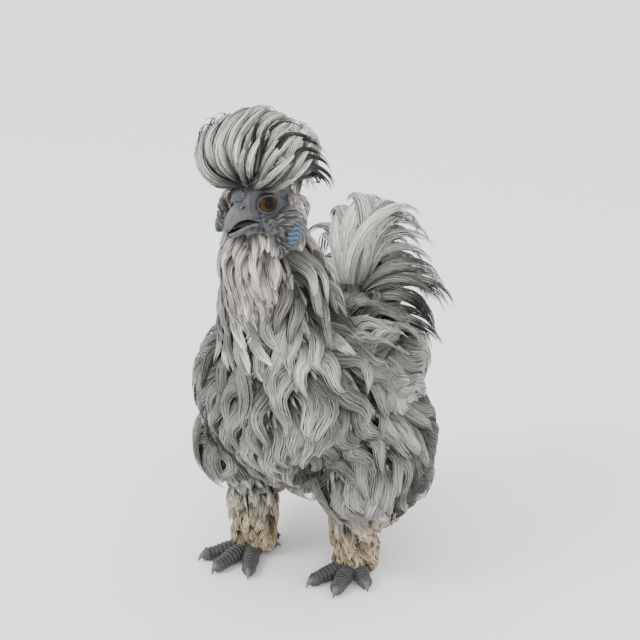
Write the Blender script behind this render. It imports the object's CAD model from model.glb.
import math

import bpy
import numpy as np
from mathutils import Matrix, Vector
from mathutils.bvhtree import BVHTree


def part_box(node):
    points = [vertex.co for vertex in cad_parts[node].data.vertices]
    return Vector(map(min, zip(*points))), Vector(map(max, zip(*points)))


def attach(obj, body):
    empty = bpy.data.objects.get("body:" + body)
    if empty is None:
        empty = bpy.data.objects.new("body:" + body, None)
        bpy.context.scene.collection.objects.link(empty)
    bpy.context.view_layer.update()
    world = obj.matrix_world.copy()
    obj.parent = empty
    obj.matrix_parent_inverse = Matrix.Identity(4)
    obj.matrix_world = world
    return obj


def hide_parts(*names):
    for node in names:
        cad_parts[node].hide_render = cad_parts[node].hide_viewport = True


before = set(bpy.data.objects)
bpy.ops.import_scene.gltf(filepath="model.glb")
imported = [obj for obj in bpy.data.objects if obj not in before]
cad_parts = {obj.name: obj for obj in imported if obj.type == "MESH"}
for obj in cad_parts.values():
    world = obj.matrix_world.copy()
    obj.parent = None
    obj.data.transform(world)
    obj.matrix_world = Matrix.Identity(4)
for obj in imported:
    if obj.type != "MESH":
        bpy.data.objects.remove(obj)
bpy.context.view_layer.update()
MM = 0.001
EYE = np.array((10.5, -79.4, 267.4)) * MM
SHIFT = np.array((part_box("eye_left")[0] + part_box("eye_left")[1]) / 2) - EYE
chance = np.random.default_rng(11)


# Skin
# A living silkie's skin is one sheet over the flesh, blue-grey on the bare face and hidden on
# the body. Here it is one mesh a coat's depth inside the plumage, and it carries the features.


def unit(v):
    return v / np.maximum(np.linalg.norm(v, axis=-1, keepdims=True), 1e-12)


def grid_faces(rows, columns, closed=True):
    """Quads between rows of points, each row a closed ring or an open line."""
    i, j = np.meshgrid(np.arange(rows - 1), np.arange(columns - (not closed)), indexing="ij")
    k = (j + 1) % columns
    quads = (i * columns + j, i * columns + k, (i + 1) * columns + k, (i + 1) * columns + j)
    return np.stack(quads, -1).reshape(-1, 4).tolist()


def ball(centre, radii, around=28, rings=16):
    """Points and faces of an ellipsoid, sizes in mm."""
    a, b = np.meshgrid(
        np.arange(around) * 2 * np.pi / around, np.linspace(-np.pi / 2, np.pi / 2, rings), indexing="xy"
    )
    points = np.stack([np.cos(a) * np.cos(b), np.sin(a) * np.cos(b), np.sin(b)], -1).reshape(-1, 3)
    return (points * radii + centre) * MM, grid_faces(rings, around)


def mesh_object(name, points, faces, smooth=True):
    """A mesh from points in the bird's own frame, moved to where the CAD model stands."""
    mesh = bpy.data.meshes.new(name)
    mesh.from_pydata((np.asarray(points) + SHIFT).tolist(), [], [tuple(face) for face in faces])
    mesh.update()
    if smooth:
        mesh.shade_smooth()
    thing = bpy.data.objects.new(name, mesh)
    bpy.context.scene.collection.objects.link(thing)
    return thing


def joined(bodies):
    points, faces, start = [], [], 0
    for more, around in bodies:
        points.append(more)
        faces += [[corner + start for corner in face] for face in around]
        start += len(more)
    return np.concatenate(points), faces


def melted(name, bodies, voxel, passes):
    """One smooth surface over many overlapping bodies, as points and faces."""
    thing = mesh_object(name, *joined(bodies))
    step = thing.modifiers.new("skin", "REMESH")
    step.mode = "VOXEL"
    step.voxel_size = voxel
    step = thing.modifiers.new("soften", "SMOOTH")
    step.factor = 0.5
    step.iterations = passes
    shape = thing.evaluated_get(bpy.context.evaluated_depsgraph_get()).to_mesh()
    points = np.empty(len(shape.vertices) * 3)
    shape.vertices.foreach_get("co", points)
    faces = [tuple(face.vertices) for face in shape.polygons]
    bpy.data.objects.remove(thing)
    return points.reshape(-1, 3) - SHIFT, faces


def painted(thing, colours):
    """Gives the mesh a colour at each point, which its material reads."""
    layer = thing.data.color_attributes.new("Tone", "FLOAT_COLOR", "POINT")
    rgba = np.ones((len(colours), 4), np.float32)
    rgba[:, :3] = colours
    layer.data.foreach_set("color", rgba.ravel())


def both(centre, radii):
    mirrored = np.array(centre) * (-1, 1, 1)
    return [ball(centre, radii), ball(mirrored, radii)]


DEPTH = 10
body_masses = [
    ball((0, -38, 132), np.array((72, 56, 62)) - DEPTH),
    ball((0, 2, 137), np.array((70, 66, 54)) - DEPTH),
    ball((0, 38, 142), np.array((52, 44, 44)) - DEPTH),
    ball((0, 24, 100), np.array((66, 62, 44)) - DEPTH),
    ball((0, -44, 172), np.array((50, 42, 42)) - DEPTH),
    *both((46, -5, 86), np.array((36, 68, 46)) - DEPTH),
    *both((46, 4, 62), np.array((34, 52, 38)) - DEPTH),
    *both((53, -2, 144), np.array((20, 48, 32)) - DEPTH),
    ball((0, 66, 174), (20, 17, 20)),
]
for share in np.linspace(0, 1, 7):
    body_masses.append(ball((0, -48 - 16 * share, 188 + 58 * share), np.full(3, 44 - 16 * share - DEPTH)))
FOOT_CENTRES = {"left": (38, -17), "right": (-36, -30)}
for x, y in FOOT_CENTRES.values():
    for share in np.linspace(0, 1, 6):
        body_masses.append(ball((x, y, 56 - 48 * share), (15 - 3 * share, 15 - 3 * share, 12 - 5 * share)))
body_points, body_faces = melted("body", body_masses, 2.2 * MM, 8)

head_masses = [
    ball((0, -70, 265), (17.5, 23, 19)),
    ball((0, -80, 267), (12.5, 14.5, 13)),
    ball((0, -84, 262), (9.5, 10, 11)),
    ball((0, -79, 251), (10.5, 14, 8)),
    ball((0, -64, 246), (20, 19, 20)),
    *both((13, -70, 255), (14, 16, 16)),
    *both((10.5, -79, 274.5), (5.5, 6.5, 3.2)),
]
head_points, head_faces = melted("head", head_masses, 0.7 * MM, 10)
EYE_TURN = math.radians(50)
eye_axes = {side: unit(np.array((math.sin(EYE_TURN) * side, -math.cos(EYE_TURN), 0.14))) for side in (1, -1)}
for side, axis in eye_axes.items():
    from_eye = head_points - EYE * (side, 1, 1)
    deep = from_eye @ axis
    wide = np.linalg.norm(from_eye - deep[:, None] * axis, axis=1) / MM
    sunk = np.clip(deep - 1.6 * MM, 0, None) * (1 - np.clip((wide - 7.2) / 5, 0, 1) ** 1.5)
    head_points = head_points - axis * (sunk * (wide < 12.2))[:, None]
    far = np.linalg.norm(from_eye, axis=1)
    out = unit(head_points - np.array((0, -72, 262)) * MM)
    ridges = np.sin(far / MM * 2 * np.pi / 1.9) * np.exp(-(((far / MM - 10) / 3.2) ** 2))
    head_points = head_points + out * (ridges * 0.16 * MM)[:, None]
x, y, z = np.abs(head_points[:, 0]) / MM, head_points[:, 1] / MM, head_points[:, 2] / MM
parting = (y < -84) & (x > 3) & (x < 10.5) & (np.abs(z - 256.6) < 0.5 + (-84 - y) * 0.4)
head_faces = [face for face in head_faces if not all(parting[list(face)])]
head_tree = BVHTree.FromPolygons(head_points.tolist(), head_faces)
body_tree = BVHTree.FromPolygons(body_points.tolist(), body_faces)

skin = mesh_object("skin", *joined([(body_points, body_faces), (head_points, head_faces)]))
skin_places = np.concatenate([body_points, head_points]) / MM
tones = np.tile((0.06, 0.058, 0.055), (len(skin_places), 1))
tones[skin_places[:, 2] < 50] = (0.13, 0.098, 0.06)
on_face = np.arange(len(skin_places)) >= len(body_points)
tones[on_face] = (0.064, 0.067, 0.072)
painted(skin, tones)


def surface_material(name, roughness, colour=None, detail=(60, 0.3), bump=(0.0002, 900)):
    """Skin, horn and feathers: a mottled colour, a roughness and a fine grain."""
    made = bpy.data.materials.new(name)
    made.use_nodes = True
    nodes, links = made.node_tree.nodes, made.node_tree.links
    shader = nodes["Principled BSDF"]
    shader.inputs["Roughness"].default_value = roughness
    place = nodes.new("ShaderNodeTexCoord")
    mottle = nodes.new("ShaderNodeTexNoise")
    mottle.inputs["Scale"].default_value = detail[0]
    mottle.inputs["Detail"].default_value = 6
    links.new(place.outputs["Object"], mottle.inputs["Vector"])
    range_node = nodes.new("ShaderNodeMapRange")
    range_node.inputs["From Min"].default_value = 0.3
    range_node.inputs["From Max"].default_value = 0.7
    range_node.inputs["To Min"].default_value = 1 - detail[1]
    range_node.inputs["To Max"].default_value = 1 + detail[1]
    links.new(mottle.outputs["Fac"], range_node.inputs["Value"])
    mix = nodes.new("ShaderNodeVectorMath")
    mix.operation = "SCALE"
    if colour is None:
        tone = nodes.new("ShaderNodeAttribute")
        tone.attribute_name = "Tone"
        links.new(tone.outputs["Color"], mix.inputs[0])
    else:
        mix.inputs[0].default_value = colour
    links.new(range_node.outputs["Result"], mix.inputs["Scale"])
    links.new(mix.outputs["Vector"], shader.inputs["Base Color"])
    if bump[0]:
        grain = nodes.new("ShaderNodeTexNoise")
        grain.inputs["Scale"].default_value = bump[1]
        grain.inputs["Detail"].default_value = 3
        links.new(place.outputs["Object"], grain.inputs["Vector"])
        raised = nodes.new("ShaderNodeBump")
        raised.inputs["Strength"].default_value = 0.6
        raised.inputs["Distance"].default_value = bump[0]
        links.new(grain.outputs["Fac"], raised.inputs["Height"])
        links.new(raised.outputs["Normal"], shader.inputs["Normal"])
    return made


skin.data.materials.append(surface_material("skin", 0.62, detail=(260, 0.25), bump=(0.0004, 1100)))
FLESH = ["head", "neck", "torso", "wing_left", "wing_right", "thigh_left", "thigh_right", "shank_left", "shank_right"]
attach(skin, "root")
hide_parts(*FLESH)


# Coat of the body
# Silkie feathers have no hooks, so they hang together as silky, waving locks of fine strands,
# pale at their tips and dark in their depths. Each lock is a sheaf of strands rooted in the skin.

GUIDES = np.array(
    (
        (0, -98, 215, 0, 0.05, -1),
        (38, -60, 215, 0.2, 0.1, -1),
        (0, -28, 235, 0, 0.3, -1),
        (0, -8, 205, 0, 0.6, -0.8),
        (0, -94, 140, 0, 0.05, -1),
        (50, -66, 140, 0.1, 0.2, -1),
        (0, -80, 95, 0, 0.2, -1),
        (55, -40, 175, 0.25, 0.55, -0.8),
        (74, -20, 150, 0.05, 0.6, -0.8),
        (76, 10, 140, 0, 0.8, -0.6),
        (70, 45, 130, -0.1, 0.8, -0.6),
        (0, 10, 188, 0, 1, -0.15),
        (0, 50, 180, 0, 1, 0.1),
        (35, 25, 183, 0.45, 0.8, -0.3),
        (50, 70, 125, 0.1, 0.5, -0.85),
        (0, 82, 130, 0, 0.3, -1),
        (80, 0, 85, 0.05, 0.55, -0.8),
        (45, -65, 85, 0.3, 0.2, -0.9),
        (52, -48, 60, 0.15, 0.2, -0.95),
        (55, 60, 80, 0.1, 0.4, -0.9),
        (40, -20, 40, 0.1, 0, -1),
        (0, 75, 95, 0, 0.2, -1),
    )
)


def body_flow(places):
    """The way the coat lies at places on the body, blended from the guides on each side."""
    side = np.where(places[:, :1] >= 0, 1, -1)
    near = np.concatenate([np.abs(places[:, :1]), places[:, 1:]], 1) / MM
    gap = ((near[:, None] - GUIDES[None, :, :3]) ** 2).sum(-1)
    way = np.exp(-gap / (2 * 26**2)) @ GUIDES[:, 3:] + (0, 0, -1e-6)
    return unit(way * np.concatenate([side, np.ones_like(side), np.ones_like(side)], 1))


def scattered(points, faces, space, tries, keep):
    """Places on a surface, evenly spread, where keep() says yes."""
    corners = np.array([points[list(face)[:3]] for face in faces])
    more = np.array([points[[face[0], face[2], face[-1]]] for face in faces if len(face) == 4])
    corners = np.concatenate([corners, more]) if len(more) else corners
    areas = np.linalg.norm(np.cross(corners[:, 1] - corners[:, 0], corners[:, 2] - corners[:, 0]), axis=1)
    picked = corners[chance.choice(len(corners), tries, p=areas / areas.sum())]
    u, v = chance.random((2, tries, 1))
    u, v = np.where(u + v > 1, 1 - u, u), np.where(u + v > 1, 1 - v, v)
    places = picked[:, 0] + (picked[:, 1] - picked[:, 0]) * u + (picked[:, 2] - picked[:, 0]) * v
    places = places[keep(places)]
    found = np.empty((len(places), 3))
    count = 0
    for place in places:
        if not count or ((found[:count] - place) ** 2).sum(1).min() > space**2:
            found[count] = place
            count += 1
    return found[:count]


def walked(tree, roots, flow, length, sway, hang, wave=30 * MM, stations=9, hooked=0.7):
    """Paths from many roots along the flow over a surface, swaying, free below an overhang."""

    def nearest(places):
        found = [tree.find_nearest(Vector(place)) for place in places]
        return np.array([hit[0] for hit in found]), np.array([hit[1] for hit in found])

    place, normal = nearest(roots)
    ripple = 2 * np.sin(47 * roots[:, 0] + 2) + 2 * np.sin(39 * roots[:, 2]) + 2 * np.sin(43 * roots[:, 1])
    phase = ripple + chance.uniform(-0.4, 0.4, len(roots))
    hook = np.sin(phase * 1.7 + 1) * hooked
    free = np.zeros(len(roots), bool)
    found = []
    for i in range(stations):
        if i:
            target = place + way * (length / (stations - 1))[:, None]
            near, facing = nearest(target)
            free |= (facing[:, 2] < hang) & (way[:, 2] < -0.5)
            place = np.where(free[:, None], target, near)
            normal = np.where(free[:, None], normal, unit(facing * 0.6 + normal * 0.4))
        way = flow(place)
        way = unit(way - normal * (way * normal).sum(1, keepdims=True))
        share = i / (stations - 1)
        turn = (sway * np.sin(phase + 2 * np.pi * share * length / wave) + hook * share**3)[:, None]
        way = way * np.cos(turn) + np.cross(normal, way) * np.sin(turn)
        found.append((place, normal, way))
    return [np.stack(each, 1) for each in zip(*found)]


def sheaves(name, paths, count, width, lift, curl, strand, tone, depth=2.5 * MM, sink=2.5 * MM, rings=7,
            meet=0.85, roll=0.6, ends=(0.62, 1.06), pinch=0.25):
    """Locks of fine strands along paths, as one mesh: each strand has three sides and a tip."""
    places, normals, ways = paths
    locks, stations = places.shape[:2]
    lock = np.repeat(np.arange(locks), count)
    total = len(lock)
    across = np.tile(np.linspace(-1, 1, count), locks) + chance.uniform(-1, 1, total) / count
    reach = ends[1] - (ends[1] - ends[0]) * (0.55 * np.abs(across) ** 1.5 + 0.45 * chance.random(total))
    share = np.linspace(0, 1, rings + 1)
    t = share[None] * reach[:, None]
    at = np.clip(t, 0, 1) * (stations - 1)
    low = np.minimum(at.astype(int), stations - 2)
    part = (at - low)[..., None]

    def along_path(data):
        return data[lock[:, None], low] * (1 - part) + data[lock[:, None], low + 1] * part

    place, normal, way = along_path(places), unit(along_path(normals)), unit(along_path(ways))
    length = np.linalg.norm(np.diff(places, axis=1), axis=-1).sum(1)[lock][:, None]
    place = place + way * (np.maximum(t - 1, 0) * length)[..., None]
    side = unit(np.cross(normal, way))
    width, lift, curl = (np.broadcast_to(value, locks)[lock][:, None] for value in (width, lift, curl))
    spread = width / 2 * (1 - meet * np.clip(t, 0, 1.1) ** 2.2) * (1 - pinch * (1 - np.clip(t, 0, 1)) ** 3)
    arch = depth * (1 - across**2) + chance.uniform(-0.2, 0.2, total) * MM
    height = (lift + sink) * np.sin(curl * t) - sink
    height = height + arch[:, None] * np.sin(np.pi * np.clip(t, 0.02, 0.98)) ** 0.7
    cycles, start = chance.uniform(0.7, 1.4, (total, 1)), chance.random((total, 1))
    wander = np.sin(2 * np.pi * (t * cycles + start)) * t * width * 0.05
    centre = place + side * (across[:, None] * spread + wander)[..., None] + normal * height[..., None]
    along = unit(np.gradient(centre, axis=1))
    side = unit(np.cross(normal, along))
    normal = np.cross(along, side)
    tilt = (roll * across + chance.uniform(-0.1, 0.1, total))[:, None, None]
    side, normal = side * np.cos(tilt) - normal * np.sin(tilt), normal * np.cos(tilt) + side * np.sin(tilt)
    size = np.broadcast_to(strand, locks)[lock] * chance.uniform(0.7, 1.3, total)
    half = (size[:, None] / 2 * (0.7 + 0.3 * np.sin(np.pi * share)) * (1.02 - share**2.4) ** 0.7)[..., None]
    ring = np.stack([centre - side * half, centre + normal * half * 0.14, centre + side * half], 2)
    points = np.concatenate([ring[:, :rings].reshape(total, rings * 3, 3), centre[:, rings:]], 1)
    each = rings * 3 + 1
    around = ((0, 1), (1, 2), (2, 0))
    quads = [(r + a, r + b, r + 3 + b, r + 3 + a) for a, b in around for r in range(0, rings * 3 - 3, 3)]
    tris = [(each - 4 + a, each - 4 + b, each - 1) for a, b in around] + [(2, 1, 0)]
    first = (np.arange(total) * each)[:, None, None]
    corners = np.concatenate([(np.array(some)[None] + first).ravel() for some in (quads, tris)])
    fours, threes = total * len(quads), total * len(tris)
    mesh = bpy.data.meshes.new(name)
    mesh.vertices.add(total * each)
    mesh.vertices.foreach_set("co", (points.reshape(-1, 3) + SHIFT).ravel())
    mesh.loops.add(len(corners))
    mesh.loops.foreach_set("vertex_index", corners)
    mesh.polygons.add(fours + threes)
    starts = np.concatenate([np.arange(fours) * 4, fours * 4 + np.arange(threes) * 3])
    mesh.polygons.foreach_set("loop_start", starts)
    mesh.update(calc_edges=True)
    seen = np.array([a < 2 for a, _ in around])
    smooth = [np.tile(np.repeat(seen, rings - 1), total), np.tile(np.append(seen, False), total)]
    mesh.polygons.foreach_set("use_smooth", np.concatenate(smooth))
    thing = bpy.data.objects.new(name, mesh)
    bpy.context.scene.collection.objects.link(thing)
    roots = places[:, 0][lock]
    up = np.append(np.repeat(share[:rings], 3), 1)
    over = np.append(np.tile((-1, 0, 1), rings), 0)
    own, shared = chance.random((total, 1)), chance.random((locks, 1))[lock]
    painted(thing, tone(roots, up, own, shared, across[:, None]).reshape(-1, 3))
    u, v = unrolled(roots)
    patch = np.stack([u[:, None] + over * 0.0015, v[:, None] + up * 0.003 - 0.0015], -1)
    grain = (over * 0.5 * size[:, None] / MM + own * 90, up * reach[:, None] * length / (40 * MM) + shared * 9)
    for label, spots in (("OFBake", patch), ("Fibre", np.stack(grain, -1))):
        layer = mesh.uv_layers.new(name=label)
        layer.uv.foreach_set("vector", spots.reshape(-1, 2)[corners].ravel())
    return thing


def unrolled(places):
    """The skin unrolled about an upright line through the body."""
    x, y, z = (places / MM).T
    return 0.5 + 0.49 * np.arctan2(x, 5 - y) / np.pi, 0.02 + 0.96 * z / 330


# Middles of the darkest patches of the coat, at the root of the wing and on the thigh
DARK_PATCHES = ((44, 2, 180), (72, -12, 92), (30, -75, 120))


def grey(dark, pale, patchy=0.25, warm=(1.0, 0.965, 0.885)):
    """A tone for strands: dark roots, pale tips, and a shade of its own for each lock and strand."""

    def tone(roots, share, own, shared, across):
        x, y, z = roots.T / MM
        patch = np.sin(x / 17 + 1.3 * np.sin(z / 23)) * np.sin(y / 19 + z / 31) + 0.6 * np.sin(z / 11 + x / 13 + 2)
        patch = np.clip(patch * 1.4, -1, 1)
        for centre in DARK_PATCHES:
            patch -= 1.6 * np.exp(-(((np.abs(x) - centre[0]) ** 2 + (y - centre[1]) ** 2 + (z - centre[2]) ** 2) / 300))
        base = 1 + patchy * 0.5 * patch[:, None] + 0.35 * (own - 0.5) + 0.7 * (shared - 0.5) - 0.5 * np.abs(across) ** 3
        ripple = 0.3 * np.sin(x / 21 + 2) + 0.3 * np.sin(z / 25) + 0.3 * np.sin(y / 23)
        band = 1 + 0.42 * np.sin(2 * np.pi * (share[None] * 1.3 + ripple[:, None] + 0.5 * shared + 0.1 * own))
        value = (dark + (pale - dark) * np.clip((share[None] - 0.1) / 0.75, 0, 1)) * base.clip(0.12) * band
        return value[..., None] * np.array(warm)

    return tone


def region(places):
    """Which part of the body a root is in."""
    x, y, z = np.abs(places[:, 0]) / MM, places[:, 1] / MM, places[:, 2] / MM
    found = np.full(len(places), "torso", dtype=object)
    found[((x - 80) / 36) ** 2 + ((y - 14) / 66) ** 2 + ((z - 138) / 38) ** 2 < 1] = "wing"
    found[z < 61 + 63 * x / 110] = "thigh"
    for word, (fx, fy) in FOOT_CENTRES.items():
        near = (places[:, 0] / MM - fx) ** 2 + (y - fy) ** 2 < 23**2
        found[near & (z < 40 - 0.5 * (y - fy))] = "shank"
    found[(y + 50) * -0.35 + (z - 192) * 0.94 > 0] = "neck"
    found[(y + 66) * -0.2 + (z - 243) * 0.98 > -2] = "none"
    found[(x / 15) ** 2 + ((y - 68) / 13) ** 2 + ((z - 176) / 15) ** 2 < 1] = "none"
    return found


def feathered(name, roughness=0.5, fibres=1.4, contrast=0.5):
    """Strands' own tones, streaked along their length as fine fibres."""
    made = bpy.data.materials.new(name)
    made.use_nodes = True
    nodes, links = made.node_tree.nodes, made.node_tree.links
    shader = nodes["Principled BSDF"]
    shader.inputs["Roughness"].default_value = roughness
    shader.inputs["Specular IOR Level"].default_value = 0.25
    strand = nodes.new("ShaderNodeUVMap")
    strand.uv_map = "Fibre"
    stretch = nodes.new("ShaderNodeMapping")
    stretch.inputs["Scale"].default_value = (fibres, 2.2, 1)
    links.new(strand.outputs["UV"], stretch.inputs["Vector"])
    streaks = nodes.new("ShaderNodeTexNoise")
    streaks.noise_dimensions = "2D"
    streaks.inputs["Scale"].default_value = 1
    streaks.inputs["Detail"].default_value = 2
    links.new(stretch.outputs["Vector"], streaks.inputs["Vector"])
    shade = nodes.new("ShaderNodeMapRange")
    shade.inputs["From Min"].default_value = 0.3
    shade.inputs["From Max"].default_value = 0.7
    shade.inputs["To Min"].default_value = 1 - contrast
    shade.inputs["To Max"].default_value = 1 + contrast
    links.new(streaks.outputs["Fac"], shade.inputs["Value"])
    tone = nodes.new("ShaderNodeAttribute")
    tone.attribute_name = "Tone"
    mix = nodes.new("ShaderNodeVectorMath")
    mix.operation = "SCALE"
    links.new(tone.outputs["Color"], mix.inputs[0])
    links.new(shade.outputs["Result"], mix.inputs["Scale"])
    links.new(mix.outputs["Vector"], shader.inputs["Base Color"])
    raised = nodes.new("ShaderNodeBump")
    raised.inputs["Strength"].default_value = 0.4
    raised.inputs["Distance"].default_value = 0.0003
    links.new(streaks.outputs["Fac"], raised.inputs["Height"])
    links.new(raised.outputs["Normal"], shader.inputs["Normal"])
    return made


def dressed(thing, material):
    """Gives a finished piece its material and lets it ride on the bird."""
    thing.data.materials.append(material)
    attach(thing, "root")


feather = feathered("plumage")
# Part: space, length, width, lift, sway, overhang, strands in a lock, strand width, dark, pale
COATS = {
    "neck": (8.4, 44, 12, 6.0, 0.55, -0.3, 19, 1.2, 0.03, 0.40),
    "torso": (10.2, 58, 16, 6.5, 0.65, -0.7, 22, 1.35, 0.015, 0.245),
    "wing": (10.5, 62, 17, 7, 0.55, -0.5, 25, 1.4, 0.02, 0.37),
    "thigh": (9.8, 52, 15, 7, 0.55, -0.8, 21, 1.35, 0.02, 0.36),
}
for kind, (space, length, width, lift, sway, hang, count, strand, dark, pale) in COATS.items():
    roots = scattered(body_points, body_faces, space * MM, 45000, lambda places: region(places) == kind)
    reach = length * MM * chance.uniform(0.85, 1.15, len(roots))
    reach = np.minimum(reach, np.maximum(roots[:, 2] - 40 * MM, 12 * MM))
    for x, y in FOOT_CENTRES.values():
        over_leg = np.hypot(roots[:, 0] / MM - x, roots[:, 1] / MM - y) < 34
        hem = (46 - 0.2 * (roots[:, 1] / MM - y)) * MM
        reach = np.where(over_leg, np.clip(roots[:, 2] - hem, 9 * MM, reach), reach)
    paths = walked(body_tree, roots, body_flow, reach, sway, hang, 42 * MM, 12, 1.0)
    parts = math.ceil(len(roots) * count * 52 / 180000)
    for number in range(parts):
        some = [each[number::parts] for each in paths]
        tone = grey(dark, pale, 1.1)
        rise = lift * MM * np.clip(reach[number::parts] / (0.8 * length * MM), 0.3, 1)
        thing = sheaves(f"coat_{kind}_{number + 1}", some, count, width * MM, rise, 2.1, strand * MM, tone, 2 * MM,
                        rings=9, meet=0.9, roll=0.45, ends=(0.8, 1.04))
        dressed(thing, feather)
    roots = scattered(body_points, body_faces, 7.2 * MM, 45000, lambda places: region(places) == kind)
    paths = walked(body_tree, roots, body_flow, np.full(len(roots), 22 * MM), 0.3, -2, 42 * MM, 6)
    thing = sheaves(f"down_{kind}", paths, 3, 11 * MM, 0.45 * lift * MM, 2, 4.6 * MM, grey(0.11, 0.24), 1 * MM, rings=3)
    dressed(thing, feather)


# Shanks
# Silkies are feathered down to their toes. Hers are matted there into short tan tufts that
# stick out and spread over the roots of the toes.


def mats_flow(places):
    turn = 2.2 * np.sin(places[:, 0] * 260 + places[:, 2] * 190) + 1.7 * np.sin(places[:, 1] * 230 + 1)
    out = places.copy()
    for x, y in FOOT_CENTRES.values():
        near = np.abs(places[:, 0] / MM - x) < 30
        out[near] -= np.array((x, y, 0)) * MM
    level = unit(out * (1, 1, 0))
    around = np.stack([-level[:, 1], level[:, 0], np.zeros(len(level))], 1)
    low = np.clip(1 - places[:, 2] / (22 * MM), 0, 1)[:, None]
    spur = np.exp(-((places[:, 2:] / MM - 28) ** 2) / 60) * np.clip(level @ (0.86, 0.5, 0), 0, 1)[:, None] ** 3
    return unit(around * 0.55 * np.sin(turn)[:, None] + (0, 0, -1) + level * (0.25 + 0.9 * low + 2 * spur))


def tan(roots, share, own, shared, across):
    base = 1 + 0.35 * (own - 0.5) + 0.6 * (shared - 0.5) - 0.2 * across**2
    value = (0.11 + 0.32 * np.clip(share[None] / 0.8, 0, 1)) * base
    grey_in = np.clip((roots[:, 2] / MM - 38) / 16, 0, 1)[:, None, None]
    return value[..., None] * (np.array((0.95, 0.76, 0.50)) * (1 - grey_in) + np.array((0.92, 0.83, 0.68)) * grey_in)


for word, (x, y) in FOOT_CENTRES.items():

    def on_shank(places):
        near = np.hypot(places[:, 0] / MM - x, places[:, 1] / MM - y) < 26
        return near & (places[:, 2] < 54 * MM) & (places[:, 2] > 6 * MM)

    roots = scattered(body_points, body_faces, 4.2 * MM, 40000, on_shank)
    reach = chance.uniform(13, 23, len(roots)) * MM
    paths = walked(body_tree, roots, mats_flow, reach, 0.45, -2, 17 * MM, 7, 0.5)
    thing = sheaves(f"coat_shank_{word}", paths, 9, 8 * MM, 4.5 * MM, 1.8, 1.7 * MM, tan, 1.6 * MM, 1.5 * MM, 5)
    places = np.empty(3 * len(thing.data.vertices))
    thing.data.vertices.foreach_get("co", places)
    height = places[2::3] / MM
    places[2::3] = np.where(height < 3, 0.2 + 2.8 * np.exp((height - 3) / 2.8), height) * MM
    thing.data.vertices.foreach_set("co", places)
    dressed(thing, feathered(f"shank_plumage_{word}", 0.7))


# Crest
# Her topknot grows from a knob of the skull: long locks rise from the brow, part to both sides
# and fall back over the top, with dark, thin, curling ends about its edge.

chance = np.random.default_rng(21)
SPRAY = np.array((3, -92, 273)) * MM
knob_points, knob_faces = ball((-1, -70, 292), (30, 26, 20), 48, 28)
knob_tree = BVHTree.FromPolygons(knob_points.tolist(), knob_faces)
knob = mesh_object("crest_down", knob_points, knob_faces)
painted(knob, np.tile((0.05, 0.049, 0.046), (len(knob_points), 1)))
dressed(knob, surface_material("crest_down", 0.9))


def crest_flow(places):
    away = places - SPRAY
    far = np.linalg.norm(away, axis=1, keepdims=True) / MM
    droop = np.clip((far - 42) / 26, 0, 1) * np.where(places[:, :1] > 0, 1.7, 0.6)
    return unit(unit(away) - np.array((0, 0, 1)) * droop)


def on_knob(places):
    above_eyes = np.clip(1.4 * np.abs(places[:, 0]) / MM - 1, 0, 12)
    return (places / MM - (0, -92, 272.5)) @ (0, 0.235, 0.972) > above_eyes


def by_brow(places):
    return (np.linalg.norm(places - SPRAY, axis=1) < 16 * MM) & (places[:, 2] > 275 * MM)


for name, space, region_of, size, sink in (("crest", 4.6, on_knob, 10, 2.5), ("forelock", 2.3, by_brow, 5.5, 0.4)):
    roots = scattered(knob_points, knob_faces, space * MM, 9000, region_of)
    reach = chance.uniform(42, 58, len(roots)) * MM
    paths = walked(knob_tree, roots, crest_flow, reach, 0.34, -0.15, 44 * MM, 11, 0.9)
    gaps = [np.linalg.norm(paths[0] - EYE * (side, 1, 1), axis=-1) for side in (1, -1)]
    gap = np.where(np.abs(paths[0][..., 0]) > 8 * MM, np.minimum(*gaps), 1).min(1)
    paths = [each[gap > 12.5 * MM] for each in paths]
    lift = chance.uniform(4, 9, len(paths[0])) * MM
    thing = sheaves(f"coat_{name}", paths, 12, size * MM, lift, 2.1, 1.5 * MM, grey(0.03, 0.56, 0.2), 2.8 * MM,
                    sink * MM, 10, pinch=0.6)
    dressed(thing, feather)
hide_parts("crest")


def dark_ends(roots, share, own, shared, across):
    value = 0.10 - 0.09 * np.clip(share[None] / 0.5, 0, 1) + 0 * own
    return value[..., None] * np.array((1, 1, 1))


def by_rim(places):
    low = (places / MM - (0, -92, 272.5)) @ (0, 0.235, 0.972) < 20
    return on_knob(places) & low & (np.abs(places[:, 0]) > 9 * MM) & (places[:, 1] < -73 * MM)


def wisp_flow(places):
    away = places - SPRAY
    far = np.linalg.norm(away, axis=1, keepdims=True) / MM
    droop = np.clip((far - 32) / 20, 0, 1) * np.where(places[:, :1] > 0, 2.2, 0.4)
    return unit(unit(away) - np.array((0, 0, 1)) * droop)


roots = scattered(knob_points, knob_faces, 4.5 * MM, 3000, by_rim)
near_side = roots[:, 0] > 0
reach = chance.uniform(np.where(near_side, 34, 50), np.where(near_side, 52, 66)) * MM
paths = walked(knob_tree, roots, wisp_flow, reach, 0.2, 0.05, 50 * MM, 12)
wisps = sheaves("crest_wisps", paths, 3, 2.4 * MM, 13 * MM, 2.0, 1.6 * MM, dark_ends, 1 * MM, rings=12, meet=0.7)
dressed(wisps, feather)


# Beard and nape
# Pale, soft beard feathers hang from under the beak and cheeks, and the nape's fall from the
# crest down the back and sides of the neck.

chance = np.random.default_rng(22)
beard_points, beard_faces = ball((0, -83, 229), (18, 10, 21), 40, 24)
beard_tree = BVHTree.FromPolygons(beard_points.tolist(), beard_faces)
bed = mesh_object("beard_down", beard_points, beard_faces)
painted(bed, np.tile((0.11, 0.105, 0.095), (len(beard_points), 1)))
dressed(bed, surface_material("beard_down", 0.9))
CREAM = (1.0, 0.945, 0.86)


def hanging(places):
    return unit(np.stack([places[:, 0] * 7, 0.12 + 0 * places[:, 0], np.full(len(places), -1.0)], 1))


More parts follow.
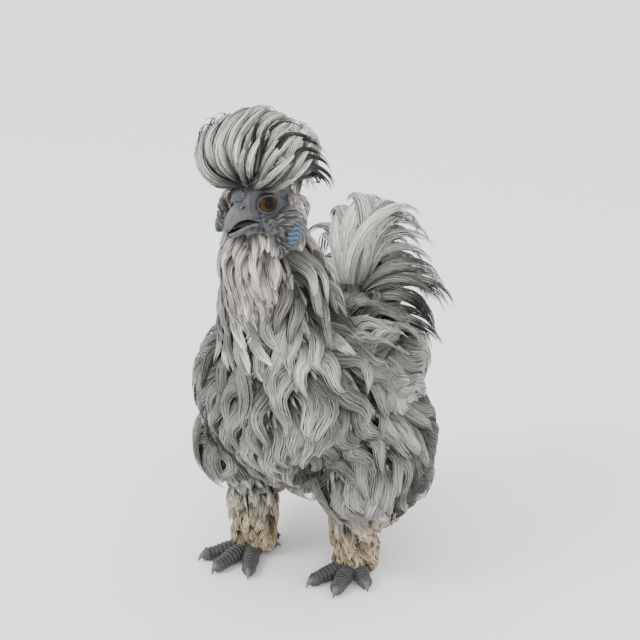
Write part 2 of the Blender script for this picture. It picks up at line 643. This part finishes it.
def on_beard(places):
    return (places[:, 1] < -76 * MM) & (places[:, 2] > 214 * MM)


roots = scattered(beard_points, beard_faces, 4.2 * MM, 7000, on_beard)
reach = chance.uniform(28, 40, len(roots)) * MM
paths = walked(beard_tree, roots, hanging, reach, 0.4, -0.5, 24 * MM, 9, 0.6)
thing = sheaves("coat_beard", paths, 15, 7 * MM, 3.5 * MM, 2.1, 0.85 * MM, grey(0.05, 0.72, 0.2, CREAM), 1.2 * MM,
                rings=8, ends=(0.75, 1.05))
dressed(thing, feather)
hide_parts("beard")


def nape_flow(places):
    side = np.sign(places[:, 0])
    return unit(np.stack([side * 0.2, np.full(len(places), 0.4), np.full(len(places), -1.0)], 1))


def on_nape(places):
    x, y, z = np.abs(places[:, 0]) / MM, places[:, 1] / MM, places[:, 2] / MM
    behind_cheek = (y > -68 + 0.35 * (z - 250)) | ((z < 240) & (y > -80))
    return behind_cheek & (z < 292)


roots = scattered(head_points, head_faces, 4 * MM, 14000, on_nape)
reach = chance.uniform(24, 50, len(roots)) * MM
whole_points, whole_faces = joined([(body_points, body_faces), (head_points, head_faces)])
whole_tree = BVHTree.FromPolygons(whole_points.tolist(), whole_faces)
paths = walked(whole_tree, roots, nape_flow, reach, 0.3, -0.7, 28 * MM, 9, 0.5)
rise = (3.5 + 4.5 * np.clip((262 - roots[:, 2] / MM) / 20, 0, 1)) * MM
thing = sheaves("coat_nape", paths, 11, 7 * MM, rise, 2.0, 1.2 * MM, grey(0.04, 0.52, 0.25, CREAM), 1.5 * MM)
dressed(thing, feather)


def on_throat(places):
    return (places[:, 2] < 253 * MM) & (places[:, 1] < -70 * MM) & (np.abs(places[:, 0]) < 17 * MM)


roots = scattered(head_points, head_faces, 3 * MM, 14000, on_throat)
reach = chance.uniform(16, 27, len(roots)) * MM
paths = walked(head_tree, roots, hanging, reach, 0.35, 0.3, 22 * MM, 8, 0.6)
thing = sheaves("coat_throat", paths, 11, 5 * MM, 3 * MM, 2.0, 0.95 * MM, grey(0.06, 0.62, 0.2, CREAM), 1.2 * MM)
dressed(thing, feather)


# Face
# Short, hair-like feathers lie back over the blue-grey skin of her face and grow longer on the
# cheeks, and a pale tuft covers each ear.

chance = np.random.default_rng(23)
SLATE = (0.93, 0.98, 1.05)


def face_flow(places):
    away = places - np.array((0, -97, 263)) * MM
    drop = np.clip((262 * MM - places[:, 2]) / (18 * MM), 0, 1)[:, None]
    return unit(unit(away) + np.array((0, 0.2, -0.5)) * drop)


def on_face_skin(places):
    x, y, z = np.abs(places[:, 0]) / MM, places[:, 1] / MM, places[:, 2] / MM
    eye_gap = np.linalg.norm(np.stack([x, y, z], 1) - EYE / MM, axis=1)
    beak = (y < -85) & (x < 8) & (z > 246) & (z < 274)
    return ~on_nape(places) & (eye_gap > 9.2) & ~beak


def slate(roots, share, own, shared, across):
    value = (0.070 + 0.03 * share[None]) * (1 + 0.5 * (own - 0.5))
    return value[..., None] * np.array(SLATE)


roots = scattered(head_points, head_faces, 1.15 * MM, 50000, on_face_skin)
reach = chance.uniform(2, 3.4, len(roots)) * MM
paths = walked(head_tree, roots, face_flow, reach, 0.2, -2, 9 * MM, 4)
thing = sheaves("coat_face", paths, 2, 1.3 * MM, 0.1 * MM, 1.7, 0.45 * MM, slate, 0.05 * MM, 0.15 * MM, 3)
face_feather = feathered("face_plumage", 0.55)
dressed(thing, face_feather)


def on_cheek(places):
    x, y, z = np.abs(places[:, 0]) / MM, places[:, 1] / MM, places[:, 2] / MM
    return on_face_skin(places) & (y > -87) & (z < 262) & (z > 240) & (x > 8)


EAR = np.array((21.5, -65, 263)) * MM


def cheek_tone(roots, share, own, shared, across):
    value = 0.06 + 0.42 * np.clip(share[None] - 0.45, 0, 1) + 0.04 * (own - 0.5) - 0.03 * across**2
    from_ear = np.linalg.norm(np.abs(roots) - EAR * (1, -1, 1), axis=1, keepdims=True)
    value = value + (0.45 - value) * np.clip(1.35 - from_ear / (10 * MM), 0, 1)
    return value[..., None] * np.array((0.97, 0.98, 1.0))


roots = scattered(head_points, head_faces, 2.5 * MM, 20000, on_cheek)
back = np.clip((roots[:, 1] / MM + 86) / 9, 0, 1)
reach = (6 + 12 * back) * chance.uniform(0.85, 1.15, len(roots)) * MM
paths = walked(head_tree, roots, face_flow, reach, 0.25, -2, 11 * MM, 7)
thing = sheaves("coat_cheek", paths, 9, 3.6 * MM, (0.4 + 2.4 * back) * MM, 1.9, 0.7 * MM, cheek_tone, 0.5 * MM, 0.5 * MM, 5)
dressed(thing, face_feather)


def ear_flow(places):
    side = np.sign(places[:, 0])
    return unit(np.stack([side * 0.2, np.full(len(places), 0.4), np.full(len(places), -1.0)], 1))


def anywhere(places):
    return np.ones(len(places), bool)


for side, word in ((1, "left"), (-1, "right")):
    tuft_points, tuft_faces = ball(EAR / MM * (side, 1, 1), (8, 7.5, 8), 32, 20)
    puff = mesh_object(f"ear_down_{word}", tuft_points, tuft_faces)
    painted(puff, np.tile(0.42 * np.array(CREAM), (len(tuft_points), 1)))
    dressed(puff, surface_material(f"ear_down_{word}", 0.9))
    tuft_tree = BVHTree.FromPolygons(tuft_points.tolist(), tuft_faces)
    roots = scattered(tuft_points, tuft_faces, 2.3 * MM, 4000, anywhere)
    reach = chance.uniform(7, 10, len(roots)) * MM
    paths = walked(tuft_tree, roots, ear_flow, reach, 0.25, -2, 15 * MM, 7, 0.3)
    thing = sheaves(f"ear_tufts_{word}", paths, 7, 3.6 * MM, 1.2 * MM, 2.0, 0.8 * MM, grey(0.42, 0.66, 0.1, CREAM),
                    0.6 * MM, 0.5 * MM, 5)
    dressed(thing, feather)


# Eyes and lids
# The eyeballs are glossy and amber-brown, turned half sideways. Each is held by lids of folded
# blue-grey skin, thick at their rim.


def eyeball(side):
    axis = eye_axes[side]
    points, faces = ball(EYE / MM * (side, 1, 1), (6.6, 6.6, 6.6), 64, 49)
    angle = np.degrees(np.arccos(np.clip(unit(points - EYE * (side, 1, 1)) @ axis, -1, 1)))
    spokes = 1 + 0.16 * np.sin(np.arctan2(points[:, 2] - EYE[2], points[:, 1] - EYE[1]) * 23)
    colours = np.tile((0.003, 0.0025, 0.002), (len(points), 1))
    iris = (angle > 25) & (angle < 57)
    ring = spokes * (0.7 + 0.5 * np.sin(np.radians((angle - 25) * 4.5)))
    colours[iris] = np.array((0.034, 0.0195, 0.006)) * ring[iris, None]
    colours[angle >= 57] = (0.006, 0.004, 0.003)
    thing = mesh_object(f"eyeball_{'left' if side > 0 else 'right'}", points, faces)
    painted(thing, colours)
    return thing


wet = surface_material("eye", 0.08, detail=(400, 0.1), bump=(0, 1))
wet.node_tree.nodes["Principled BSDF"].inputs["Specular IOR Level"].default_value = 0.1
lid_skin = surface_material("lids", 0.55, (0.036, 0.038, 0.042), detail=(500, 0.35), bump=(0.0004, 1300))
LID_STEPS = (
    (-2, 6.5),
    (-0.5, 6.85),
    (1.5, 7.2),
    (3.5, 7.3),
    (5.5, 7.1),
    (7.5, 6.95),
    (11, 7.2),
    (16, 7.35),
    (19, 7.1),
    (24, 7.2),
    (30, 6.9),
    (38, 5.6),
)
for side, word in ((1, "left"), (-1, "right")):
    thing = eyeball(side)
    dressed(thing, wet)
    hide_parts(f"eye_{word}")
    axis = eye_axes[side]
    across = unit(np.cross(axis, (0, 0, 1)))
    upward = np.cross(across, axis)
    about = np.linspace(0, 2 * np.pi, 72, endpoint=False)
    wide, tall = np.cos(about), np.sin(about)
    opening = (1 - 0.1 * np.clip(tall, 0, 1)) / np.hypot(wide / 62, tall / 50)
    rows = []
    for k, (more, far) in enumerate(LID_STEPS):
        rho = np.radians(opening + more)[:, None]
        way = axis * np.cos(rho) + (across * wide[:, None] + upward * tall[:, None]) * np.sin(rho)
        crimp = 1 + 0.014 * np.sin(about * 29 + 3 * np.sin(about * 3)) * (k > 3)
        rows.append(EYE * (side, 1, 1) + way * (far * crimp * MM)[:, None])
    faces = grid_faces(len(rows), 72)
    if side > 0:
        faces = [face[::-1] for face in faces]
    thing = mesh_object(f"lids_{word}", np.concatenate(rows), faces)
    dressed(thing, lid_skin)


# Beak and mouth
# The beak is horn, short and hooked, open a little on a dark mouth. Its nostrils are slits under
# a raised flap, and soft skin folds round the corners of the mouth.


def horn(name, stations, upper):
    """A half of the beak through stations of (how far forward, top, bottom, half width)."""
    table = np.array(stations, float)
    gone = np.append(0, np.cumsum(np.linalg.norm(np.diff(table[:, :3], axis=0), axis=1)))
    at = np.linspace(0, 1, 26) ** 0.8 * gone[-1]
    forward, top, low, half = (np.interp(at, gone, table[:, k]) for k in range(4))
    for values in (forward, top, low, half):
        values[1:-1] = (values[:-2] + 2 * values[1:-1] + values[2:]) / 4
    around = np.linspace(0, 2 * np.pi, 28, endpoint=False)
    rows, colours = [], []
    inside = (np.sin(around) < -0.12) if upper else (np.sin(around) > 0.12)
    for y, a, b, w in zip(forward, top, low, half):
        x = np.cos(around) * w * (1 - 0.15 * np.abs(np.sin(around)))
        rise = np.abs(np.sin(around)) ** 1.15
        if upper:
            z = np.where(np.sin(around) > 0, b + (a - b) * rise, b + (a - b) * 0.35 * rise * (np.abs(np.cos(around)) < 0.9))
        else:
            z = np.where(np.sin(around) < 0, a - (a - b) * rise, a - (a - b) * 0.4 * rise * (np.abs(np.cos(around)) < 0.9))
        rows.append(np.stack([x, np.full(28, y), z], 1) * MM)
        shade = 0.08 + 0.025 * np.abs(np.sin(around)) - 0.02 * (y < -100)
        colours.append(np.where(inside, 0.006, shade)[:, None] * np.array((0.97, 1, 1.04)))
    points = np.concatenate([*rows, [rows[-1].mean(0) + (0, -0.0004, 0)]])
    last = len(rows) * 28
    caps = [(last - 28 + k, last, last - 28 + (k + 1) % 28) for k in range(28)]
    thing = mesh_object(name, points, grid_faces(len(rows), 28) + caps)
    painted(thing, np.concatenate([*colours, [(0.08, 0.08, 0.085)]]))
    return thing


UPPER = (
    (-84, 271.5, 258.4, 7.7),
    (-90, 271.2, 259.6, 7.2),
    (-95, 269.6, 260.4, 6.2),
    (-99.5, 266.8, 260.2, 4.9),
    (-103, 263, 258.4, 3.5),
    (-104.8, 259.2, 255.8, 2.0),
    (-105, 256.4, 254.2, 0.8),
)
LOWER = (
    (-80, 256.4, 251.0, 7.8),
    (-86, 256.4, 250.2, 7.4),
    (-92, 256.0, 249.6, 6.4),
    (-97, 255.0, 249.2, 5.2),
    (-101, 253.8, 249.4, 3.8),
    (-103.8, 252.6, 250.4, 1.6),
)
horn_made = surface_material("horn", 0.42, detail=(220, 0.2), bump=(0.00012, 1500))
rim_made = surface_material("nostril_rim", 0.5, (0.095, 0.098, 0.102), detail=(220, 0.2), bump=(0.0002, 1500))
for name, stations, upper in (("upper", UPPER, True), ("lower", LOWER, False)):
    thing = horn(f"beak_{name}_horn", stations, upper)
    dressed(thing, horn_made)
    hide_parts(f"beak_{name}")

black = surface_material("mouth", 0.7, (0.006, 0.005, 0.005), bump=(0, 1))
dressed(mesh_object("mouth", *ball((0, -86, 256.4), (7.4, 14, 3.6), 32, 17)), black)
dressed(mesh_object("tongue", *ball((0, -95.5, 255.6), (2.4, 6.5, 1.3), 24, 13)), lid_skin)


def tube(path, radii, around=10):
    """A round cord through points, in mm, thinning by its radii."""
    path = np.array(path, float)
    along = unit(np.gradient(path, axis=0))
    side = unit(np.cross(along, (0.02, 0.03, 1)))
    up = np.cross(side, along)
    a = np.linspace(0, 2 * np.pi, around, endpoint=False)[None, :, None]
    ring = side[:, None] * np.cos(a) + up[:, None] * np.sin(a)
    rows = path[:, None] + ring * np.broadcast_to(radii, len(path))[:, None, None]
    return rows.reshape(-1, 3) * MM, grid_faces(len(path), around)


lip_made = surface_material("lips", 0.5, (0.095, 0.098, 0.105), detail=(300, 0.3), bump=(0.0003, 1300))
# Points along the lips from the upper edge round the corner to the tip, each with a radius
LIP = (
    (6.3, -93, 260.8, 0.4),
    (7.7, -88, 260.2, 0.8),
    (9.1, -84.4, 258.9, 1.1),
    (9.9, -82.6, 257.0, 1.3),
    (9.2, -84.2, 255.7, 1.2),
    (7.7, -88, 256.0, 1.0),
    (6.3, -93, 255.8, 0.85),
    (4.8, -98, 254.8, 0.75),
    (3.1, -102, 253.5, 0.65),
    (0.4, -104.8, 252.4, 0.6),
)
turns = np.linspace(-1, 1, 25)
for side, word in ((1, "left"), (-1, "right")):
    fold = []
    for s in turns:
        place = np.array((side * 9, -83.6 - 8.5 * abs(s) ** 1.5, 256.7 + 3.4 * np.sign(s) * abs(s) ** 0.8)) * MM
        fold.append(np.array(head_tree.find_nearest(Vector(place))[0]) / MM)
    dressed(mesh_object(f"gape_{word}", *tube(fold, 1.25 * (1 - 0.6 * turns**4))), lid_skin)
    lip = np.array(LIP) * (side, 1, 1, 1)
    gone = np.append(0, np.cumsum(np.linalg.norm(np.diff(lip[:, :3], axis=0), axis=1)))
    at = np.linspace(0, gone[-1], 48)
    line = np.stack([np.interp(at, gone, lip[:, k]) for k in range(4)], 1)
    for _ in range(14):
        line[1:-1] = (line[:-2] + 2 * line[1:-1] + line[2:]) / 4
    dressed(mesh_object(f"lip_{word}", *tube(line[:, :3], 1.2 * line[:, 3])), lip_made)
    slit = np.array((3.7 * side, -94.2, 267.6))
    ring = [slit + (1.0 * side * np.sin(a) * 0.7, 2.3 * np.cos(a), 1.25 * np.sin(a)) for a in np.linspace(0, 2 * np.pi, 25)]
    dressed(mesh_object(f"nostril_rim_{word}", *tube(ring, 0.62)), rim_made)
    dressed(mesh_object(f"nostril_{word}", *ball(slit, (1.2, 2.2, 1.1), 20, 11)), black)


# Comb and ear lobes
# A hen's comb is a small cushion of wrinkled flesh at the base of the beak, and her lobes are
# soft turquoise skin under the ears, furrowed and half covered by the cheeks.

lumps = []
for k in range(26):
    far, turn = 0.72 * math.sqrt(k), k * 2.4
    back = far * math.cos(turn)
    middle = (far * math.sin(turn), -92.1 + 0.6 * back, 273.4 + 0.75 * back)
    lumps.append(ball(middle, chance.uniform(0.9, 1.4, 3)))
comb = mesh_object("comb_flesh", *melted("comb", lumps, 0.3 * MM, 4))
dressed(comb, surface_material("comb", 0.6, (0.04, 0.042, 0.046), detail=(500, 0.3), bump=(0.0003, 1500)))
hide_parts("comb")

LOBE = np.array((26, -72, 251))
for side, word in ((1, "left"), (-1, "right")):
    points, faces = ball((0, 0, 0), (3.6, 5.6, 9.4), 72, 49)
    y, z = points[:, 1] / MM, points[:, 2] / MM
    furrow = np.sin(z * 2.1 + 1.8 * np.sin(y * 0.55 + z * 0.4) - y * 0.8) * (0.65 + 0.35 * np.sin(z * 0.7 + y * 1.4))
    points = points * (1 + 0.07 * furrow)[:, None]
    lean = math.radians(-46)
    x, y, z = points.T
    turned = [x, y * math.cos(lean) - z * math.sin(lean), y * math.sin(lean) + z * math.cos(lean)]
    points = (np.stack(turned, 1) + LOBE * MM) * (side, 1, 1)
    thing = mesh_object(f"lobe_{word}", points, faces if side > 0 else [face[::-1] for face in faces])
    depth = np.clip(0.5 + 0.6 * furrow, 0, 1)[:, None] ** 1.4
    painted(thing, np.array((0.008, 0.017, 0.03)) * (1 - depth) + np.array((0.05, 0.125, 0.195)) * depth)
    dressed(thing, surface_material(f"lobe_{word}", 0.5, detail=(400, 0.25), bump=(0.0003, 1200)))
    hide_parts(f"earlobe_{word}")


# Tail
# A silkie's tail has no stiff quills. Its soft plumes rise in tiers from the rump, arch over and
# end in curled tips, the lower and outer ones darkest.

chance = np.random.default_rng(24)
TAIL_ROOT = np.array((0, 45, 168)) * MM
# Tier: plumes, rise, lean, spread, length, droop, width
TAIL_TIERS = (
    (15, 106, 0, 46, 112, 168, 17),
    (15, 86, -3, 62, 97, 152, 17),
    (16, 62, 4, 74, 88, 138, 17),
    (13, 36, 7, 78, 82, 115, 18),
    (12, 10, 8, 76, 74, 85, 17),
)
plumes, widths = [], []
for tier, (count, rise, lean, spread, length, droop, width) in enumerate(TAIL_TIERS):
    for i in range(count):
        turn = math.radians(lean + spread * (2 * i / (count - 1) - 1) + chance.uniform(-3, 3))
        first = math.radians(rise + chance.uniform(-9, 9))
        bend = math.radians(droop + chance.uniform(-14, 14))
        long = length * chance.uniform(0.88, 1.06) * MM
        out = np.array((math.sin(turn), math.cos(turn), 0))
        sway = np.array((math.cos(turn), -math.sin(turn), 0)) * chance.uniform(-0.35, 0.35)
        place = TAIL_ROOT - (0, 0, 2.5 * MM * tier)
        path = []
        for k in range(14):
            share = k / 13
            angle = first - bend * share**1.6
            way = unit(out * math.cos(angle) + (0, 0, math.sin(angle)) + sway * math.sin(5 * share))
            place = place + way * long / 13 * (k > 0)
            path.append((place, np.array((0, 0, math.cos(angle))) - out * math.sin(angle), way))
        plumes.append(path)
        widths.append(width * MM)
paths = [np.array([[step[k] for step in path] for path in plumes]) for k in range(3)]


def tail_tone(roots, share, own, shared, across):
    base = 1 + 0.3 * (own - 0.5) + 0.8 * (shared - 0.5) - 0.45 * across**2
    body = 0.13 + 0.37 * np.clip(share[None] / 0.45, 0, 1)
    low = np.clip((TAIL_ROOT[2] - roots[:, 2:]) / (7.5 * MM), 0, 1)
    tip = np.clip((share[None] - 0.70 + 0.30 * low - 0.12 * own) / 0.2, 0, 1) * (0.5 + 0.5 * low)
    return ((body * (1 - tip) + 0.02 * tip) * base)[..., None] * np.array((1, 0.97, 0.905))


thing = sheaves("coat_tail", paths, 27, np.array(widths), 0, 1, 1.7 * MM, tail_tone, 3.5 * MM, 0, 12, 0.7, 0.5, (0.88, 1.02), 0.5)
dressed(thing, feather)
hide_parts("tail")


# Feet
# Silkies have five toes, soft and plump, on dark leathery pads. Rings of scutes, the horny
# plates over the toes, are set along each toe by one node tree, and a short claw ends it.

TOES = {
    "left": ((-19, 40, 5.2), (11, 41, 5.4), (44, 31, 5.2), (-164, 22, 4.2), (-128, 16, 3.6)),
    "right": ((-28, 41, 5.2), (5, 43, 5.4), (33, 39, 5.2), (-164, 22, 4.2), (-130, 16, 3.6)),
}


def toe_line(word, heading, length, radius, stations=24):
    """Points along the middle of a toe with its radius at each, all in mm."""
    share = np.linspace(0, 1, stations)
    angle = math.radians(heading)
    ahead = np.array((math.sin(angle) * (1 if word == "left" else -1), -math.cos(angle), 0))
    size = radius * (1.06 - 0.24 * share) * (1 + 0.05 * np.cos(share * math.pi * 4))
    size = size * np.sqrt(np.clip(1 - ((share - 0.84) / 0.17).clip(0) ** 2, 0.02, 1))
    rise = radius * 0.8 + 2.2 * (1 - share) ** 2
    line = np.array((*FOOT_CENTRES[word], 0)) + ahead * (4 + (length - 3.5) * share)[:, None]
    return line + np.stack([0 * rise, 0 * rise, rise], 1), size, ahead


def scute_tree():
    """Half rings over a line of points, spaced evenly and sized by the line's own radius."""
    tree = bpy.data.node_groups.new("Scutes", "GeometryNodeTree")
    tree.interface.new_socket("Geometry", in_out="INPUT", socket_type="NodeSocketGeometry")
    for label, value in (("Spacing", 2.9 * MM), ("Thickness", 0.16), ("Reach", 3.7)):
        tree.interface.new_socket(label, in_out="INPUT", socket_type="NodeSocketFloat").default_value = value
    tree.interface.new_socket("Material", in_out="INPUT", socket_type="NodeSocketMaterial")
    tree.interface.new_socket("Geometry", in_out="OUTPUT", socket_type="NodeSocketGeometry")
    new, link = tree.nodes.new, tree.links.new
    given, result = new("NodeGroupInput"), new("NodeGroupOutput")
    line, even = new("GeometryNodeMeshToCurve"), new("GeometryNodeResampleCurve")
    even.mode = "LENGTH"
    link(given.outputs["Geometry"], line.inputs["Mesh"])
    link(line.outputs["Curve"], even.inputs["Curve"])
    link(given.outputs["Spacing"], even.inputs["Length"])
    arc, bead, plate = new("GeometryNodeCurveArc"), new("GeometryNodeCurvePrimitiveCircle"), new("GeometryNodeCurveToMesh")
    arc.inputs["Resolution"].default_value = 20
    arc.inputs["Radius"].default_value = 1
    arc.inputs["Start Angle"].default_value = math.radians(-16)
    bead.inputs["Resolution"].default_value = 8
    link(given.outputs["Reach"], arc.inputs["Sweep Angle"])
    link(given.outputs["Thickness"], bead.inputs["Radius"])
    link(arc.outputs["Curve"], plate.inputs["Curve"])
    link(bead.outputs["Curve"], plate.inputs["Profile Curve"])
    plate.inputs["Fill Caps"].default_value = True
    along, first, second = new("GeometryNodeInputTangent"), new("FunctionNodeAlignRotationToVector"), new("FunctionNodeAlignRotationToVector")
    first.axis, second.axis, second.pivot_axis = "Z", "Y", "Z"
    second.inputs["Vector"].default_value = (0, 0, 1)
    link(along.outputs["Tangent"], first.inputs["Vector"])
    link(first.outputs["Rotation"], second.inputs["Rotation"])
    size, vary, scale = new("GeometryNodeInputNamedAttribute"), new("FunctionNodeRandomValue"), new("ShaderNodeMath")
    size.inputs["Name"].default_value = "size"
    vary.inputs["Min"].default_value = 0.95
    vary.inputs["Max"].default_value = 1.02
    vary.inputs["Seed"].default_value = 3
    scale.operation = "MULTIPLY"
    link(size.outputs["Attribute"], scale.inputs[0])
    link(vary.outputs[1], scale.inputs[1])
    put, real, paint = new("GeometryNodeInstanceOnPoints"), new("GeometryNodeRealizeInstances"), new("GeometryNodeSetMaterial")
    link(even.outputs["Curve"], put.inputs["Points"])
    link(plate.outputs["Mesh"], put.inputs["Instance"])
    link(second.outputs["Rotation"], put.inputs["Rotation"])
    link(scale.outputs["Value"], put.inputs["Scale"])
    link(put.outputs["Instances"], real.inputs["Geometry"])
    link(real.outputs["Geometry"], paint.inputs["Geometry"])
    link(given.outputs["Material"], paint.inputs["Material"])
    link(paint.outputs["Geometry"], result.inputs["Geometry"])
    return tree


toe_skin = surface_material("toe_skin", 0.55, (0.042, 0.043, 0.042), detail=(250, 0.3), bump=(0.0003, 1100))
claw_made = surface_material("claw_horn", 0.35, (0.085, 0.085, 0.08), detail=(300, 0.25), bump=(0.0001, 1500))
scutes = scute_tree()
for word in ("left", "right"):
    bodies = [ball((*FOOT_CENTRES[word], 5.4), (10.5, 12, 6.6), 32, 17)]
    lines, sizes, edges = [], [], []
    for number, each in enumerate(TOES[word]):
        line, size, ahead = toe_line(word, *each)
        across = np.cross(ahead, (0, 0, 1))
        a = np.linspace(0, 2 * np.pi, 20, endpoint=False)[None, :, None]
        rows = line[:, None] + (across * np.cos(a) + np.array((0, 0, 1)) * np.sin(a)) * size[:, None, None]
        caps = [tuple(range(19, -1, -1)), tuple(range(23 * 20, 24 * 20))]
        bodies.append((rows.reshape(-1, 3) * MM, grid_faces(24, 20) + caps))
        edges += [(len(lines) * 21 + k, len(lines) * 21 + k + 1) for k in range(20)]
        lines.append(line[:21])
        sizes.append(size[:21])
        start = line[-1] + (0, 0, each[2] * 0.18)
        grown = [start + ahead * (6.2 * s - 3.4) - (0, 0, each[2] * 0.9 * s**2.4) for s in np.linspace(0, 1, 14)]
        wide = each[2] * 0.46 * (1.03 - np.linspace(0, 1, 14) ** 1.8)
        claw = mesh_object(f"claw_horn_{word}_{number + 1}", *tube(grown, wide, 16))
        dressed(claw, claw_made)
        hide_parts(f"claw_{word}_{number + 1}")
    points, faces = melted("foot", bodies, 0.6 * MM, 3)
    points[:, 2] = points[:, 2].clip(0.0001)
    foot = mesh_object(f"toes_{word}", points, faces)
    dressed(foot, toe_skin)
    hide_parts(f"foot_{word}")
    made = bpy.data.meshes.new("toe_lines")
    made.from_pydata((np.concatenate(lines) * MM + SHIFT).tolist(), edges, [])
    made.attributes.new("size", "FLOAT", "POINT").data.foreach_set("value", np.concatenate(sizes) * MM)
    plates = bpy.data.objects.new(f"scutes_{word}", made)
    bpy.context.scene.collection.objects.link(plates)
    step = plates.modifiers.new("scutes", "NODES")
    step.node_group = scutes
    for item in scutes.interface.items_tree:
        if item.name == "Material":
            step[item.identifier] = toe_skin
    result = plates.evaluated_get(bpy.context.evaluated_depsgraph_get())
    plates.data = bpy.data.meshes.new_from_object(result)
    plates.modifiers.clear()
    plates.data.shade_smooth()
    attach(plates, "root")


# Ground, light and camera
# The bird stands on a plain pale floor under soft studio light, seen as the photograph shows her.

floor = mesh_object("floor", np.array([(-9, -9, 0), (9, -9, 0), (9, 9, 0), (-9, 9, 0)]) - SHIFT, [(0, 1, 2, 3)], False)
pale = bpy.data.materials.new("floor")
pale.use_nodes = True
pale.node_tree.nodes["Principled BSDF"].inputs["Base Color"].default_value = (0.9, 0.9, 0.9, 1)
pale.node_tree.nodes["Principled BSDF"].inputs["Roughness"].default_value = 0.9
floor.data.materials.append(pale)

world = bpy.data.worlds.new("studio")
world.use_nodes = True
world.node_tree.nodes["Background"].inputs["Color"].default_value = (1, 1, 1, 1)
world.node_tree.nodes["Background"].inputs["Strength"].default_value = 2.0
bpy.context.scene.world = world
for name, place, size, power in (("key", (-0.9, -1.3, 1.7), 0.7, 26), ("fill", (1.4, -0.9, 0.9), 1.2, 6)):
    lamp = bpy.data.lights.new(name, "AREA")
    lamp.size = size
    lamp.energy = power
    thing = bpy.data.objects.new(name, lamp)
    thing.location = place
    thing.rotation_euler = (Vector((0, 0, 0.15)) - Vector(place)).to_track_quat("-Z", "Y").to_euler()
    bpy.context.scene.collection.objects.link(thing)

azimuth, rise = math.radians(31), math.radians(19.5)
back = Vector((math.sin(azimuth) * math.cos(rise), -math.cos(azimuth) * math.cos(rise), math.sin(rise)))
lens = bpy.data.cameras.new("camera")
lens.sensor_width = 36
lens.lens = 18 / math.tan(math.radians(13))
camera = bpy.data.objects.new("camera", lens)
camera.location = Vector((0, 0, 0.168)) + Vector(SHIFT) + back * 0.925
camera.rotation_euler = back.to_track_quat("Z", "Y").to_euler()
bpy.context.scene.collection.objects.link(camera)
bpy.context.scene.camera = camera
